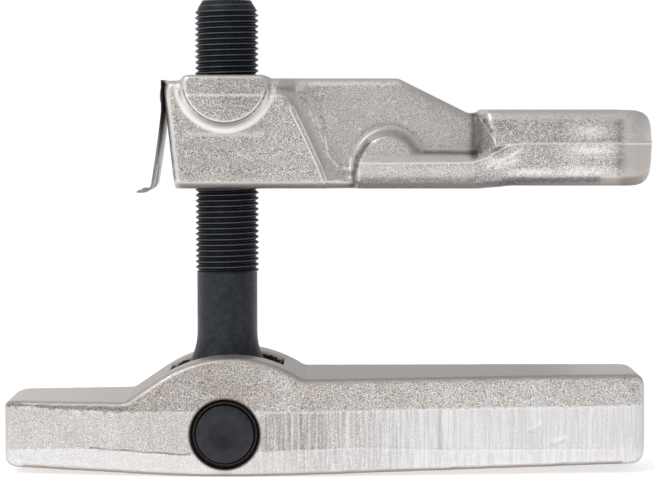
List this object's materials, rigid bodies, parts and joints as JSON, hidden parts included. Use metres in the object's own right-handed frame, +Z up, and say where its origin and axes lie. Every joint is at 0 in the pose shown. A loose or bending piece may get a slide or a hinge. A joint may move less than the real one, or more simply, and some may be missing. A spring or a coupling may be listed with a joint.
{
  "type": "ball joint press",
  "caption": "Two-arm lever press for ball joints: a forged lever arm and a forged fork arm joined by a threaded eye bolt, with a forked leaf spring on the fork arm.",
  "frame": {"origin": "under the middle of the whole object, at the height of the lowest point of the lever arm", "axes": "+X along the arms from the bolt towards the fork's mouth, +Y to the rear, +Z up along the bolt"},
  "size_m": [0.2092, 0.05, 0.1535],
  "materials": {
    "forged_steel": "matte",
    "black_steel": "satin",
    "spring_steel": "satin"
  },
  "bodies": {
    "lever": {"lower_lever_arm": "forged_steel", "pivot_pin": "black_steel", "snap_ring_front": "black_steel", "snap_ring_rear": "black_steel"},
    "bolt": {"eye_bolt": "black_steel"},
    "fork": {"upper_fork_arm": "forged_steel", "leaf_spring": "spring_steel", "spring_rivet": "black_steel"}
  },
  "joints": [
    {"name": "bolt_swing", "type": "hinge", "parent": "lever", "child": "bolt", "pos_m": [-0.0327, 0, 0.0138], "axis": [0, 1, 0], "range_deg": [-15, 15]},
    {"name": "arm_height", "type": "slide", "parent": "bolt", "child": "fork", "axis": [0, 0, 1], "range_m": [-0.027, 0.024]}
  ]
}
